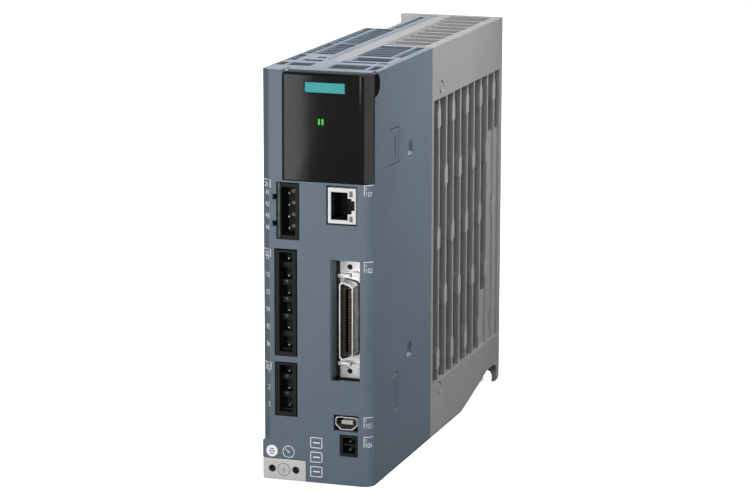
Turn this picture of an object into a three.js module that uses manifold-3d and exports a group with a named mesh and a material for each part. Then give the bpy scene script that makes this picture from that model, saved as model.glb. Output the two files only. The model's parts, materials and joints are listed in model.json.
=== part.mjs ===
// Book-format servo drive: plastic front housing and left shell around a die-cast heatsink,
// with a hinged front flap, plug headers, sockets and the electronics inside.
// Millimetres, +Z up. The front faces -Y. Shapes are drawn in corner coordinates
// (x from the left side, y from the front, z from the bottom) and centred when placed.
import * as THREE from 'three';
import { mergeVertices } from 'three/addons/utils/BufferGeometryUtils.js';
import Module from 'manifold-3d';

const wasm = await Module();
wasm.setup();

// Driving dimensions
const WIDTH = 50;
const DEPTH = 200;
const HEIGHT = 180;
const WALL = 2;
const GAP = 0.3;
const HOUSING_DEPTH = 85.2;
const FRONT_WALL = 2.5;
const CORNER_RADIUS = 4.5;
const LEFT_CHAMFER = { x: 3.3, y: 2.6, bottom: 17.3 };
const CAVITY = { split: 165, upperFront: 13.6 };
const TOP_CUT = HEIGHT + 1;

// Heatsink casting
const BASE = { x0: 19.4, x1: 25.2, front: 35, bottomFront: 2.4 };
const FIN = { first: 98.1, pitch: 11.2, count: 9, thick: 1.6, tip: 49.6 };
const WINDOW = { y0: 88.2, y1: 196.2, z0: 24.4, z1: 155.4 };
const OUTER_WALL = 2.4;
const RIM_WIDTH = 4.4;
const FLANGE = { y0: 195.6, tabX: 0, tabBottom: 160, legX: 34, legTop: 10, corner: 2 };
const U_SLOT = { x: 44.7, z: 3, width: 5.4 };
const TAB_HOLE = { x: 6.5, z: 170, r: 2.75 };
const SLOPE = { y0: 135, y1: 180, rise: 10, filletY: 6, filletZ: 5 };
const PAD = { half: 2.3, top: 3.2, bottom: 4.4, nose: 1, noseTop: 6, x0: 43, firstZ: 34, pitchZ: 28, rows: 5 };
const RING = { y: 99.6, z: [160.4, 20.3], outer: 3.1, inner: 2.2, depth: 0.8 };
const FILL = { tip: 48.6, shortTop: 51.4, tallTop: 127 };

// Top grilles: ribs repeat along Y, sunk below the face; each column is x0, x1
const GRILLE = { firstRib: 23.75, pitch: 5.15, rib: 0.8, sink: 0.7 };
const COLUMN = {
  leftNarrow: [0.8, 4.9],
  leftWide: [6.1, 15.3],
  notch: [12, 15.3],
  rightWide: [26.2, 41.6],
  rightNarrow: [42.8, 47],
};
const POCKET_SINK = 1.2;
const TOP_POCKETS = [
  [0.9, 5, 14.1, 22.6],
  [6.2, 17, 14.1, 22.6],
  [26, 42.4, 10.4, 22.5],
  [43.8, 48, 10.4, 22.5],
  [8, 17, 28.4, 33.2],
];
const GRILLE_START = { front: 49.9, edge: 29.3, edgeEnd: 47.5 };
const GRILLE_END = 84.3;
const GRILLE_MARGIN = 1.3;
const EDGE_GROOVE = { x0: 48.3, x1: 48.9, depth: 0.6 };
const BORDER_GROOVE = { x0: 17.3, x1: 18, depth: 1 };

// Left shell
const SHELL = { y0: 85.5, y1: 191, notchY: 141, notchX: 10 };

// Flap and its hinge
const HINGE = { y: 4.9, z: 174.7 };
const FLAP = { x0: 10.3, skinEnd: 48.2, z0: 132.8, skin: 1.6, r: 4.9, inner: 2.75, edge: 1.4, top: 179.6 };
const FLAP_CORNER = [[44, 0], [46, 0.3], [WIDTH, 2.75]];
const STRIP = { x1: 47.9, y0: 3.4, y1: 8.4, z0: 178.9 };
const RECESS = { x0: 9.4, z0: 132.4, depth: 3.1, trough: 6.65, lip: 8.9, earTrough: 5.25, earLip: 7.6 };
const PIN_RADIUS = 1;
const LUG_RADIUS = 2.4;
const BADGE = { x0: 19.7, x1: 37.5, z0: 170.9, z1: 175.2, seat: 0.6 };
const LIGHT = { x: [25.6, 27.2], width: 0.8, z0: 157.15, z1: 159.65 };

// Front openings: x0, x1, z0, z1
const OPENING = {
  fourWay: [6.6, 17.1, 106.7, 131.6],
  sixWay: [5.6, 16, 55.3, 102.6],
  threeWay: [5.6, 16, 28.6, 52.7],
  twoWay: [35.2, 43.5, 12.8, 22.5],
  network: [29.3, 43, 114.4, 131.4],
  signal: [31.1, 44.3, 46, 99.1],
  encoder: [32.5, 43.5, 24, 31.2],
};
const SIGNAL_POCKET_DEPTH = 8.7;
const CARD_MOUTH = { x0: 30.4, x1: 35, y0: 2, y1: 6, z0: 141, z1: 157.2 };
const LATCH_NOTCH = { x0: 4.9, size: 2.5, z: [112.2, 123.8] };
const TONGUE = { y0: 23.6, y1: 36.2, slit: 0.7, top: [152.6, 43.4], height: 16.2 };
const TONGUE_GROOVE = { back: 5, width: 1, depth: 0.8, margin: 2.8 };
const SCOOP = { y0: 49.3, y1: 56, z: [137.3, 46.5], height: 6.7, depth: 1.2 };
const EARTH = { x1: 19.7, z1: 9.2, thick: 5 };
const EARTH_THREAD = { x: [4.2, 15.1], z: 4.65, r: 1.65 };
const LUG_X = [[12.6, 14.2], [46.2, 47.8]];

// Plug headers: pin positions and cavity
const HEADER = {
  sixWay: { body: [5.9, 15.3, 55.6, 101.9], pinX: 12, top: 98.4, pitch: 7.62, ways: 6 },
  threeWay: { body: [5.9, 15.3, 28.9, 52.2], pinX: 12, top: 48.7, pitch: 7.62, ways: 3 },
  fourWay: { body: [8.2, 16.7, 107, 131.1], pinX: 12.2, top: 126.8, pitch: 5.08, ways: 4 },
  twoWay: { body: [35.5, 43.2, 13.1, 22.2], pinX: 39.7, top: 19.5, pitch: 3.6, ways: 2 },
};
const HEADER_FRONT = 0.3;
const HEADER_BACK = 12;
const CHAMBER = { left: 1.8, right: 1.6, end: 1.6, sink: 5, half: 2.5 };
const PIN_HOLE = 0.8;
const PIN_TIP = { y: 0.9, half: 0.2, length: 1 };

// Sockets
const JACK = {
  body: [29.9, 42.4, HEADER_FRONT, 20, 115.1, 130.5],
  mouth: [[31.2, 38.8, 116.6, 128.7], [38.7, 40.5, 119.3, 126.1], [40.4, 41.9, 120.9, 125.2]],
  back: 12.5,
  window: { x: [39.5, 41], z: [116, 126.8], height: 2.5, depth: 0.6 },
  contact: { first: 118.9, pitch: 1.02, count: 8, width: 0.4 },
};
const SIGNAL = {
  plate: { x: [32.4, 43.6], y: [9.2, 10.2], z: [45.6, 100.6] },
  shell: { x: [34.7, 40.9], y: [0.9, 14], z: [55.3, 89.5], thick: 0.5 },
  insert: { inset: 0.8, y: [2.6, 22], slot: [37.1, 38.5, 0, 14, 58.4, 86.4] },
  clips: [[32.7, 38.2, 5.4, 90.6, 92], [32.7, 38.2, 5.4, 52, 53.4],
    [38.8, 42.4, 6, 91.2, 93], [38.8, 42.4, 6, 50.8, 52.6]],
  hole: { x: 36.8, z: [94.6, 48.6], r: 1.2 },
};
const ENCODER = { x: [33.2, 43.2], z: [24.6, 30.4], thick: 0.4, tongue: [35.7, 41, 1.2, 11.7, 26.9, 28.5] };

// Boards
const POWER_BOARD = { x0: 2.6, x1: 4.2, y0: 5.8, y1: 134, z0: 11, z1: 162 };
const BRAKE_BOARD = { x0: 6.9, x1: 7.9, y0: 1, y1: 34, z0: 107.1, z1: 131.2 };
const CONTROL_BOARD = { x0: 27.6, x1: 29.2, y0: 5.6, y1: 74, z0: 8, z1: 162 };
const LINK_BOARD = { y0: 82.6, y1: 84.2, x0: 26.4, x1: 47.2, z0: 12, z1: 160 };

// Materials
function plain(color, roughness, metalness = 0) {
  return new THREE.MeshStandardMaterial({ color, roughness, metalness });
}
const material = {
  housing: () => plain(0x68747f, 0.5),
  casting: () => plain(0x9e9e9e, 0.5, 0.7),
  gloss: () => plain(0x1c1c1c, 0.15),
  teal: () => plain(0x0a9a8c, 0.4),
  led: () => plain(0x37e85c, 0.3),
  steel: () => plain(0xb8bbbd, 0.3, 1),
  tin: () => plain(0xd8dadb, 0.3, 1),
  black: () => plain(0x1b1b1a, 0.55),
  board: () => plain(0x12543a, 0.5),
  earth: () => plain(0xc8c8c8, 0.45, 0.8),
  white: () => plain(0xdcdcd8, 0.5),
  blueSleeve: () => plain(0x23395e, 0.4),
  copper: () => plain(0xa8622e, 0.4, 1),
  grey: () => plain(0x5d6065, 0.6),
};

// Geometry helpers in corner coordinates
const ALONG_X = new THREE.Matrix4().makeBasis(
  new THREE.Vector3(0, 1, 0), new THREE.Vector3(0, 0, 1), new THREE.Vector3(1, 0, 0));
const ALONG_Y = new THREE.Matrix4().makeBasis(
  new THREE.Vector3(1, 0, 0), new THREE.Vector3(0, 0, 1), new THREE.Vector3(0, -1, 0));

function solid(geometry) {
  const bare = geometry.index ? geometry.toNonIndexed() : geometry.clone();
  bare.deleteAttribute('normal');
  bare.deleteAttribute('uv');
  const merged = mergeVertices(bare, 1e-4);
  return new wasm.Manifold(new wasm.Mesh({
    numProp: 3,
    vertProperties: new Float32Array(merged.attributes.position.array),
    triVerts: new Uint32Array(merged.index.array),
  }));
}

function box(x0, x1, y0, y1, z0, z1) {
  const geometry = new THREE.BoxGeometry(x1 - x0, y1 - y0, z1 - z0);
  return solid(geometry.translate((x0 + x1) / 2, (y0 + y1) / 2, (z0 + z1) / 2));
}

function polygon(points) {
  return new THREE.Shape(points.map(([u, v]) => new THREE.Vector2(u, v)));
}

function disc(u, v, r) {
  const shape = new THREE.Shape();
  shape.absarc(u, v, r, 0, 2 * Math.PI, false);
  return shape;
}

function extrude(shape, depth, segments) {
  return new THREE.ExtrudeGeometry(shape, { depth, bevelEnabled: false, curveSegments: segments });
}

// Shape drawn in (y, z), swept along X
function sweepX(shape, x0, x1, segments = 12) {
  return solid(extrude(shape, x1 - x0, segments).applyMatrix4(ALONG_X).translate(x0, 0, 0));
}

// Shape drawn in (x, z), swept along Y
function sweepY(shape, y0, y1, segments = 12) {
  return solid(extrude(shape, y1 - y0, segments).applyMatrix4(ALONG_Y).translate(0, y1, 0));
}

// Shape drawn in (x, y), swept along Z
function sweepZ(shape, z0, z1, segments = 12) {
  return solid(extrude(shape, z1 - z0, segments).translate(0, 0, z0));
}

function cut(body, tools) {
  return tools.reduce((rest, tool) => rest.subtract(tool), body);
}

function join(bodies) {
  return bodies.reduce((sum, body) => sum.add(body));
}

const servoDrive = new THREE.Group();
servoDrive.name = 'servo_drive';

function place(name, body, make) {
  const mesh = body.getMesh();
  const geometry = new THREE.BufferGeometry();
  geometry.setAttribute('position', new THREE.BufferAttribute(mesh.vertProperties, 3));
  geometry.setIndex(new THREE.BufferAttribute(mesh.triVerts, 1));
  geometry.computeVertexNormals();
  const node = new THREE.Mesh(geometry, make());
  node.name = name;
  node.position.set(-WIDTH / 2, -DEPTH / 2, 0);
  servoDrive.add(node);
}

// Plan outline of the front housing, with or without the left chamfer
function housingOutline(chamfered, depth) {
  const shape = new THREE.Shape();
  shape.moveTo(chamfered ? LEFT_CHAMFER.x : 0, 0);
  shape.lineTo(WIDTH - CORNER_RADIUS, 0);
  shape.absarc(WIDTH - CORNER_RADIUS, CORNER_RADIUS, CORNER_RADIUS, -Math.PI / 2, 0, false);
  shape.lineTo(WIDTH, depth);
  shape.lineTo(0, depth);
  if (chamfered) shape.lineTo(0, LEFT_CHAMFER.y);
  return shape;
}

function housingCavity() {
  const back = HOUSING_DEPTH + 1;
  return [
    box(WALL, WIDTH - WALL, FRONT_WALL, back, WALL, RECESS.z0 - WALL),
    box(WALL, WIDTH - WALL, RECESS.depth + WALL, back, WALL, CAVITY.split),
    box(WALL, WIDTH - WALL, CAVITY.upperFront, back, CAVITY.split - 1, HEIGHT - WALL),
    box(BASE.x0 - GAP, BASE.x1 + GAP, BASE.front - GAP, back, HEIGHT - WALL - 1, TOP_CUT),
  ];
}

// Seat of the flap: a wide trough for its top edge to swing in, narrower round the right ear
function flapRecess() {
  const right = WIDTH + 1;
  const split = FLAP.skinEnd + GAP;
  return [
    box(RECESS.x0, right, -1, RECESS.depth, RECESS.z0, HINGE.z),
    box(RECESS.x0, split, -1, RECESS.lip, HINGE.z, TOP_CUT),
    box(split - 0.1, right, -1, RECESS.earLip, HINGE.z, TOP_CUT),
    sweepX(disc(HINGE.y, HINGE.z, RECESS.trough), RECESS.x0, split, 20),
    sweepX(disc(HINGE.y, HINGE.z, RECESS.earTrough), split - 0.1, right, 20),
  ];
}

// Lug that carries one hinge pin, standing in the trough behind the flap
function hingeLug([x0, x1]) {
  const stem = box(x0, x1, RECESS.depth + 0.2, HINGE.y + 1.7, HINGE.z - 9, HINGE.z);
  const head = sweepX(disc(HINGE.y, HINGE.z, LUG_RADIUS), x0, x1, 12);
  return stem.add(head).subtract(sweepX(disc(HINGE.y, HINGE.z, PIN_RADIUS + GAP), x0 - 1, x1 + 1));
}

function frontOpenings() {
  const depth = FRONT_WALL + 8;
  const windows = Object.values(OPENING).map(([x0, x1, z0, z1]) => box(x0, x1, -1, depth, z0, z1));
  const notches = LATCH_NOTCH.z.map((z) =>
    box(LATCH_NOTCH.x0, OPENING.fourWay[0] + 0.1, -1, depth, z, z + LATCH_NOTCH.size));
  const earthSeat = box(-1, EARTH.x1 + GAP, -1, EARTH.thick + GAP, -1, EARTH.z1 + GAP);
  const cardMouth = box(...Object.values(CARD_MOUTH));
  return [...windows, ...notches, earthSeat, cardMouth];
}

// Side and top walls of the deep signal pocket, which is open at its foot
function signalPocket() {
  const [x0, x1, z0, z1] = OPENING.signal;
  const wall = 1.2;
  const rim = box(x0 - wall, x1 + wall, 0.5, SIGNAL_POCKET_DEPTH, z0, z1 + wall);
  return rim.subtract(box(x0, x1, 0, SIGNAL_POCKET_DEPTH + 1, z0 - 1, z1));
}

// U-shaped slits that free a snap tongue in the right wall, and its groove
function snapTongue(zTop) {
  const { y0, y1, slit } = TONGUE;
  const zBottom = zTop - TONGUE.height;
  const x0 = WIDTH - WALL - 1;
  const x1 = WIDTH + 1;
  const { back, width, depth, margin } = TONGUE_GROOVE;
  const grooveY = y1 - back;
  return [
    box(x0, x1, y0, y1, zTop - slit, zTop),
    box(x0, x1, y1 - slit, y1, zBottom, zTop),
    box(x0, x1, y0, y1, zBottom, zBottom + slit),
    box(WIDTH - depth, x1, grooveY, grooveY + width, zBottom + margin, zTop - margin),
  ];
}

// Arched finger scoop in the right wall, deepest near its foot
function scoop(z) {
  const middle = (SCOOP.y0 + SCOOP.y1) / 2;
  const r = (SCOOP.y1 - SCOOP.y0) / 2;
  const top = z + SCOOP.height;
  const arch = new THREE.Shape();
  arch.moveTo(SCOOP.y0, z);
  arch.lineTo(SCOOP.y1, z);
  arch.absarc(middle, top - r, r, 0, Math.PI, false);
  const wedge = polygon([[WIDTH + 1, z], [WIDTH, z], [WIDTH - SCOOP.depth, z + 1.3], [WIDTH, top],
    [WIDTH + 1, top]]);
  const slope = sweepY(wedge, SCOOP.y0 - 1, SCOOP.y1 + 1, 1);
  return sweepX(arch, WIDTH - WALL, WIDTH + 1, 8).intersect(slope);
}

// Plain row of transverse vent slots through a bottom wall
function ventSlots(x0, x1, y0, y1) {
  const pitch = 7.6;
  const slot = 5.8;
  const slots = [];
  for (let y = y0; y + slot <= y1; y += pitch) {
    slots.push(box(x0, x1, y, y + slot, -1, WALL + 1));
  }
  return slots;
}

// Grille sunk in a top wall: a shallow recess, cut through between its ribs
function grille([x0, x1], y0, y1) {
  const half = GRILLE.rib / 2;
  const cuts = [box(x0, x1, y0, y1, HEIGHT - GRILLE.sink, TOP_CUT)];
  let start = y0;
  for (let rib = GRILLE.firstRib; start < y1; rib += GRILLE.pitch) {
    const end = Math.min(rib - half, y1);
    if (end > start) {
      cuts.push(box(x0, x1, start, end, HEIGHT - WALL - 1, TOP_CUT));
      start = rib + half;
    }
  }
  return cuts;
}

function topPocket([x0, x1, y0, y1]) {
  return box(x0, x1, y0, y1, HEIGHT - POCKET_SINK, TOP_CUT);
}

function topHole([x0, x1], y0, y1) {
  return box(x0, x1, y0, y1, HEIGHT - WALL - 1, TOP_CUT);
}

function topGroove({ x0, x1, depth }, y0, y1) {
  return box(x0, x1, y0, y1, HEIGHT - depth, TOP_CUT);
}

function housingTopCuts() {
  const { front, edge, edgeEnd } = GRILLE_START;
  return [
    ...TOP_POCKETS.map(topPocket),
    topHole([11, 15.5], 38.5, 42.5),
    topHole(COLUMN.rightWide, 28.4, 31.9),
    topHole(COLUMN.rightNarrow, 28.4, 31.9),
    topHole([28, 45], 35.3, 46),
    ...grille(COLUMN.leftNarrow, edge, edgeEnd),
    ...grille(COLUMN.leftNarrow, front, GRILLE_END),
    ...grille(COLUMN.leftWide, front, GRILLE_END),
    ...grille(COLUMN.rightWide, front, GRILLE_END),
    ...grille(COLUMN.rightNarrow, front, GRILLE_END),
    topGroove(BORDER_GROOVE, 36, GRILLE_END),
    topGroove(EDGE_GROOVE, 24, HOUSING_DEPTH + 1),
  ];
}

function housingBottomCuts() {
  return [...ventSlots(28, 46, 30, 80), ...ventSlots(4, 17, 30, 80)];
}

function frontHousing() {
  const upper = sweepZ(housingOutline(true, HOUSING_DEPTH), 0, HEIGHT, 8);
  const lower = sweepZ(housingOutline(false, HOUSING_DEPTH), 0, LEFT_CHAMFER.bottom, 8);
  const shell = cut(upper.add(lower), [...housingCavity(), ...flapRecess()]);
  const bodies = [shell, signalPocket(), ...LUG_X.map(hingeLug)];
  return cut(join(bodies), [
    ...frontOpenings(),
    ...TONGUE.top.flatMap(snapTongue),
    ...SCOOP.z.map(scoop),
    ...housingTopCuts(),
    ...housingBottomCuts(),
  ]);
}

function leftShell() {
  const plan = [[0, SHELL.y0], [BASE.x0 - GAP, SHELL.y0], [BASE.x0 - GAP, SHELL.y1],
    [SHELL.notchX, SHELL.y1], [SHELL.notchX, SHELL.notchY], [0, SHELL.notchY]];
  const inner = SHELL.notchX + WALL;
  const open = BASE.x0 + 1;
  const z1 = HEIGHT - WALL;
  const front = SHELL.y0 + GRILLE_MARGIN;
  const notchEnd = SHELL.notchY - GRILLE_MARGIN;
  const back = SHELL.y1 - WALL - GRILLE_MARGIN;
  return cut(sweepZ(polygon(plan), 0, HEIGHT), [
    box(WALL, open, SHELL.y0 - 1, SHELL.notchY - WALL, WALL, z1),
    box(inner, open, SHELL.notchY - WALL - 1, SHELL.y1 - WALL, WALL, z1),
    ...grille(COLUMN.leftNarrow, front, notchEnd),
    ...grille(COLUMN.leftWide, front, notchEnd),
    ...grille(COLUMN.notch, SHELL.notchY + GRILLE_MARGIN, back),
    topGroove(BORDER_GROOVE, front, back),
    ...ventSlots(4, 17, 89, 137),
  ]);
}

// Side outline of the flap: a flat skin with a rounded top edge and a barrel round the hinge axis
function flapSection() {
  const barrelTop = STRIP.z0 - GAP;
  const outerEnd = Math.asin((barrelTop - HINGE.z) / FLAP.r);
  const innerEnd = Math.PI / 3;
  const shape = new THREE.Shape();
  shape.moveTo(0, FLAP.z0);
  shape.lineTo(0, FLAP.top - FLAP.edge);
  shape.absarc(FLAP.edge, FLAP.top - FLAP.edge, FLAP.edge, Math.PI, Math.PI / 2, true);
  shape.lineTo(STRIP.y0 - GAP, FLAP.top);
  shape.lineTo(STRIP.y0 - GAP, barrelTop);
  shape.lineTo(HINGE.y + FLAP.r * Math.cos(outerEnd), barrelTop);
  shape.absarc(HINGE.y, HINGE.z, FLAP.inner, innerEnd, Math.PI, false);
  shape.lineTo(HINGE.y - FLAP.inner, HINGE.z - 2);
  shape.lineTo(FLAP.skin, FLAP.z0);
  return shape;
}

// Tool that shapes the flap's right corner
function flapCorner() {
  const [[x0]] = FLAP_CORNER;
  const plan = polygon([[x0, -1], [WIDTH + 1, -1], [WIDTH + 1, 3.4], ...[...FLAP_CORNER].reverse()]);
  return sweepZ(plan, FLAP.z0 - 1, TOP_CUT);
}

// Wrap of the flap's skin round the right corner
function flapReturn() {
  const inside = [[48.4, 2.75], [45.6, 1.4], [44, 1.4]];
  return sweepZ(polygon([...FLAP_CORNER, ...inside]), FLAP.z0, FLAP.top - FLAP.edge);
}

function flap() {
  const ears = [[FLAP.x0, FLAP.x0 + 1.6], [FLAP.skinEnd, WIDTH]].map(([x0, x1]) =>
    sweepX(disc(HINGE.y, HINGE.z, FLAP.r), x0, x1, 24));
  const skin = join([sweepX(flapSection(), FLAP.x0, FLAP.skinEnd, 12), ...ears]);
  const pinHoles = [[FLAP.x0 + 0.6, 15], [46, 49.4]].map(([x0, x1]) =>
    sweepX(disc(HINGE.y, HINGE.z, PIN_RADIUS + 0.1), x0, x1));
  const slack = 0.15;
  const badgeSeat = box(BADGE.x0 - slack, BADGE.x1 + slack, -1, BADGE.seat, BADGE.z0 - slack,
    BADGE.z1 + slack);
  const lights = LIGHT.x.map((x) =>
    box(x - slack, x + LIGHT.width + slack, -1, 3, LIGHT.z0 - slack, LIGHT.z1 + slack));
  const stripSeat = box(FLAP.x0 - 1, STRIP.x1 + GAP, STRIP.y0 - GAP, STRIP.y1 + 2, STRIP.z0 - GAP, TOP_CUT);
  const body = skin.subtract(flapCorner()).add(flapReturn());
  return cut(body, [...pinHoles, badgeSeat, stripSeat, ...lights]);
}

function hingePins() {
  const spans = [[FLAP.x0 + 0.8, 14.4], [46, 49.2]];
  ['hinge_pin_left', 'hinge_pin_right'].forEach((name, i) => {
    place(name, sweepX(disc(HINGE.y, HINGE.z, PIN_RADIUS), spans[i][0], spans[i][1]), material.steel);
  });
}

function flapTrim() {
  const strip = box(FLAP.x0, STRIP.x1, STRIP.y0, STRIP.y1, STRIP.z0, HEIGHT);
  place('flap_top_strip', strip, material.housing);
  const badge = box(BADGE.x0, BADGE.x1, 0.05, BADGE.seat - 0.1, BADGE.z0, BADGE.z1);
  place('flap_badge', badge, material.teal);
  ['led_pipe_left', 'led_pipe_right'].forEach((name, i) => {
    const x = LIGHT.x[i];
    place(name, box(x, x + LIGHT.width, 0.02, 2.4, LIGHT.z0, LIGHT.z1), material.led);
  });
}

function heatsinkPlan() {
  const front = FIN.first - FIN.pitch;
  const bodies = [
    box(BASE.x0, BASE.x1, BASE.front, SHELL.y0, BASE.bottomFront, HEIGHT),
    box(BASE.x0, BASE.x1, SHELL.y0, DEPTH, 0, HEIGHT),
    box(BASE.x1 - 1, WIDTH, SHELL.y0, WINDOW.y0, 0, HEIGHT),
    box(BASE.x1 - 1, WIDTH, WINDOW.y1, DEPTH, 0, HEIGHT),
    box(WIDTH - OUTER_WALL, WIDTH, SHELL.y0, DEPTH, WINDOW.z1, HEIGHT),
    box(WIDTH - RIM_WIDTH, WIDTH, SHELL.y0, DEPTH, HEIGHT - 3, HEIGHT),
    box(WIDTH - OUTER_WALL, WIDTH, SHELL.y0, DEPTH, 0, WINDOW.z0),
    box(FLANGE.tabX, BASE.x1, FLANGE.y0, DEPTH, FLANGE.tabBottom, HEIGHT),
  ];
  for (let i = 1; i <= FIN.count; i += 1) {
    const y = front + i * FIN.pitch;
    bodies.push(box(BASE.x1 - 1, FIN.tip, y - FIN.thick / 2, y + FIN.thick / 2, 0, HEIGHT - 1));
  }
  return bodies;
}

// Pads where the ejector pins press on alternate fins, in staggered rows
function ejectorPads() {
  const pads = [];
  for (let row = 0; row < PAD.rows; row += 1) {
    const z = PAD.firstZ + row * PAD.pitchZ;
    for (let i = 1 + (row % 2); i <= FIN.count; i += 2) {
      const y = FIN.first + (i - 1) * FIN.pitch;
      const foot = z - PAD.bottom;
      const shape = polygon([[y - PAD.half, foot], [y + PAD.half, foot + 0.8],
        [y + PAD.half, z + PAD.top], [y + PAD.nose, z + PAD.noseTop], [y - PAD.nose, z + PAD.noseTop],
        [y - PAD.half, z + PAD.top]]);
      pads.push(sweepX(shape, PAD.x0, FIN.tip, 1));
    }
  }
  return pads;
}

// Solid webs that close the rear channels below the fixing bosses
function rearFills() {
  const y = (i) => FIN.first + (i - 1) * FIN.pitch;
  return [
    box(BASE.x1 - 1, FILL.tip, y(8), WINDOW.y1 + 1, 0, FILL.tallTop),
    box(BASE.x1 - 1, FILL.tip, y(7), y(8), 0, FILL.shortTop),
  ];
}

// Sloped underside of the casting, ending in a concave fillet at the rear flange
function castingUnderside() {
  const points = [[SLOPE.y0, -1], [SLOPE.y0, 0], [SLOPE.y1, SLOPE.rise]];
  const steps = 6;
  for (let i = 0; i <= steps; i += 1) {
    const angle = (i / steps) * Math.PI / 2;
    points.push([FLANGE.y0 - SLOPE.filletY * (1 - Math.sin(angle)),
      SLOPE.rise - SLOPE.filletZ * (1 - Math.cos(angle))]);
  }
  points.push([FLANGE.y0, -1]);
  return sweepX(polygon(points), -1, WIDTH + 1, 1);
}

// Tool that rounds a bottom corner of the flange leg; side is +1 for its right corner
function legCorner(x, side) {
  const r = FLANGE.corner;
  const centre = x - side * r;
  const outside = x + side;
  const block = box(Math.min(centre, outside), Math.max(centre, outside),
    FLANGE.y0 - 0.1, DEPTH + 1, -1, r);
  return block.subtract(sweepY(disc(centre, r, r), FLANGE.y0 - 1, DEPTH + 2, 12));
}

function flangeCuts() {
  const slotTop = sweepY(disc(U_SLOT.x, U_SLOT.z, U_SLOT.width / 2), FLANGE.y0 - 1, DEPTH + 1, 16);
  const half = U_SLOT.width / 2;
  return [
    slotTop,
    box(U_SLOT.x - half, U_SLOT.x + half, FLANGE.y0 - 1, DEPTH + 1, -1, U_SLOT.z),
    box(FLANGE.tabX - 1, FLANGE.legX, FLANGE.y0 - 1, DEPTH + 1, -1, FLANGE.legTop),
    legCorner(FLANGE.legX, -1),
    legCorner(WIDTH, 1),
    sweepY(disc(TAB_HOLE.x, TAB_HOLE.z, TAB_HOLE.r), FLANGE.y0 - 1, DEPTH + 1, 16),
  ];
}

// Shallow witness rings left by the side ejectors
function witnessRings() {
  const x0 = WIDTH - RING.depth;
  return RING.z.map((z) => {
    const ring = sweepX(disc(RING.y, z, RING.outer), x0, WIDTH + 1, 16);
    return ring.subtract(sweepX(disc(RING.y, z, RING.inner), x0 - 1, WIDTH + 2, 16));
  });
}

function fixingBores() {
  const bores = [];
  for (const z of [75, 105]) {
    bores.push(sweepX(disc(60, z, 1.7), BASE.x0 - 1, BASE.x0 + 4));
  }
  return bores;
}

function heatsink() {
  const body = join([...heatsinkPlan(), ...ejectorPads(), ...rearFills()]);
  return cut(body, [
    castingUnderside(),
    ...flangeCuts(),
    ...witnessRings(),
    ...fixingBores(),
    topGroove(EDGE_GROOVE, SHELL.y0 - 1, DEPTH - 1.2),
  ]);
}

function earthPlate() {
  const pad = box(0.1, EARTH.x1, 0, EARTH.thick, 0, EARTH.z1);
  const tongue = box(11, 18.6, EARTH.thick - 1, BASE.front - GAP, 3, 5.6);
  const threads = EARTH_THREAD.x.map((x) =>
    sweepY(disc(x, EARTH_THREAD.z, EARTH_THREAD.r), -1, EARTH.thick + 1, 12));
  return cut(pad.add(tongue), threads);
}

// Pin positions of a header, top pole first
function poles({ top, pitch, ways }) {
  return Array.from({ length: ways }, (_, i) => top - i * pitch);
}

function pinHole(pinX, z) {
  return box(pinX - PIN_HOLE, pinX + PIN_HOLE, 0, HEADER_BACK + 1, z - PIN_HOLE, z + PIN_HOLE);
}

// Header housing with one chamber for each pole behind a common mouth
function chamberHeader(header) {
  const [x0, x1, z0, z1] = header.body;
  const [left, right] = [x0 + CHAMBER.left, x1 - CHAMBER.right];
  const cuts = [box(left, right, 0, CHAMBER.sink, z0 + CHAMBER.end, z1 - CHAMBER.end)];
  poles(header).forEach((z) => {
    cuts.push(box(left, right, 0, HEADER_BACK - 1.6, z - CHAMBER.half, z + CHAMBER.half));
    cuts.push(pinHole(header.pinX, z));
  });
  return cut(box(x0, x1, HEADER_FRONT, HEADER_BACK, z0, z1), cuts);
}

// Header housing with one open cavity; rims are left, right and end thicknesses
function openHeader(header, [left, right, end]) {
  const [x0, x1, z0, z1] = header.body;
  const cavity = box(x0 + left, x1 - right, 0, HEADER_BACK - 1.6, z0 + end, z1 - end);
  const holes = poles(header).map((z) => pinHole(header.pinX, z));
  return cut(box(x0, x1, HEADER_FRONT, HEADER_BACK, z0, z1), [cavity, ...holes]);
}

// The two-way header has a partition between its poles
function twoWayHeader() {
  const header = HEADER.twoWay;
  const [x0, x1] = header.body;
  const middle = header.top - header.pitch / 2;
  const partition = box(x0 + 0.5, x1 - 0.5, 2, HEADER_BACK - 0.5, middle - 0.4, middle + 0.4);
  return openHeader(header, [1, 1, 1]).add(partition);
}

// Square contact pins with pointed tips, bent over to the board behind
function headerPins(name, header, boardX, half = 0.5) {
  const tail = HEADER_BACK + 2.2;
  const full = PIN_TIP.y + PIN_TIP.length;
  const outline = (c) => [[c - PIN_TIP.half, PIN_TIP.y], [c + PIN_TIP.half, PIN_TIP.y],
    [c + half, full], [c + half, tail], [c - half, tail], [c - half, full]];
  const { pinX } = header;
  const side = polygon(outline(pinX));
  poles(header).forEach((z, i) => {
    const profile = polygon(outline(z).map(([v, y]) => [y, v]));
    const shaft = sweepZ(side, z - half, z + half, 1)
      .intersect(sweepX(profile, pinX - half, pinX + half, 1));
    const leg = box(Math.min(boardX, pinX), Math.max(boardX, pinX), tail - 2 * half, tail,
      z - half, z + half);
    place(`${name}_${i + 1}`, shaft.add(leg), material.tin);
  });
}

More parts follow.
